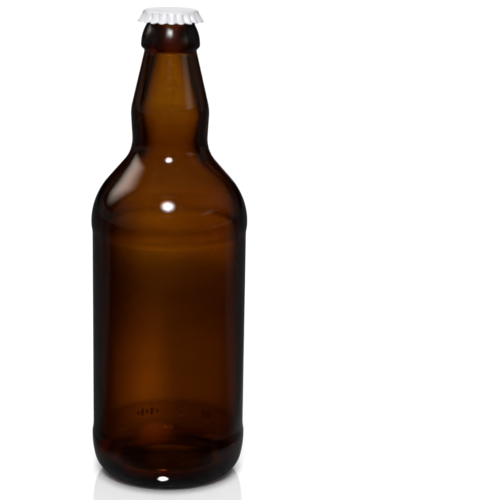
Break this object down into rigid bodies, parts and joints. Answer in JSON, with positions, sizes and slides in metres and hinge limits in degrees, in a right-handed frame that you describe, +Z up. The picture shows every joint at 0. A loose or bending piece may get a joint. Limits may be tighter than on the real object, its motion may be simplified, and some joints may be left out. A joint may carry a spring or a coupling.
{
  "type": "beer bottle",
  "caption": "Tall brown glass beer bottle with round shoulders and a swelled neck, empty, with a loose fluted metal cap resting on its mouth.",
  "frame": {"origin": "centre of the circle that the bottle stands on, in the plane of the table", "axes": "+Z up the bottle's axis to the cap; X and Y are equivalent, +X passes through the middle of a flute"},
  "size_m": [0.0774, 0.0774, 0.2348],
  "materials": {
    "amber_glass": "smooth blown brown glass, glossy, with faint mould seams",
    "white_cap": "white lacquer on tinplate, satin, bare metal on the cut hem"
  },
  "bodies": {
    "root": {"bottle_glass": "amber_glass", "fluted_cap": "white_cap"}
  },
  "joints": []
}
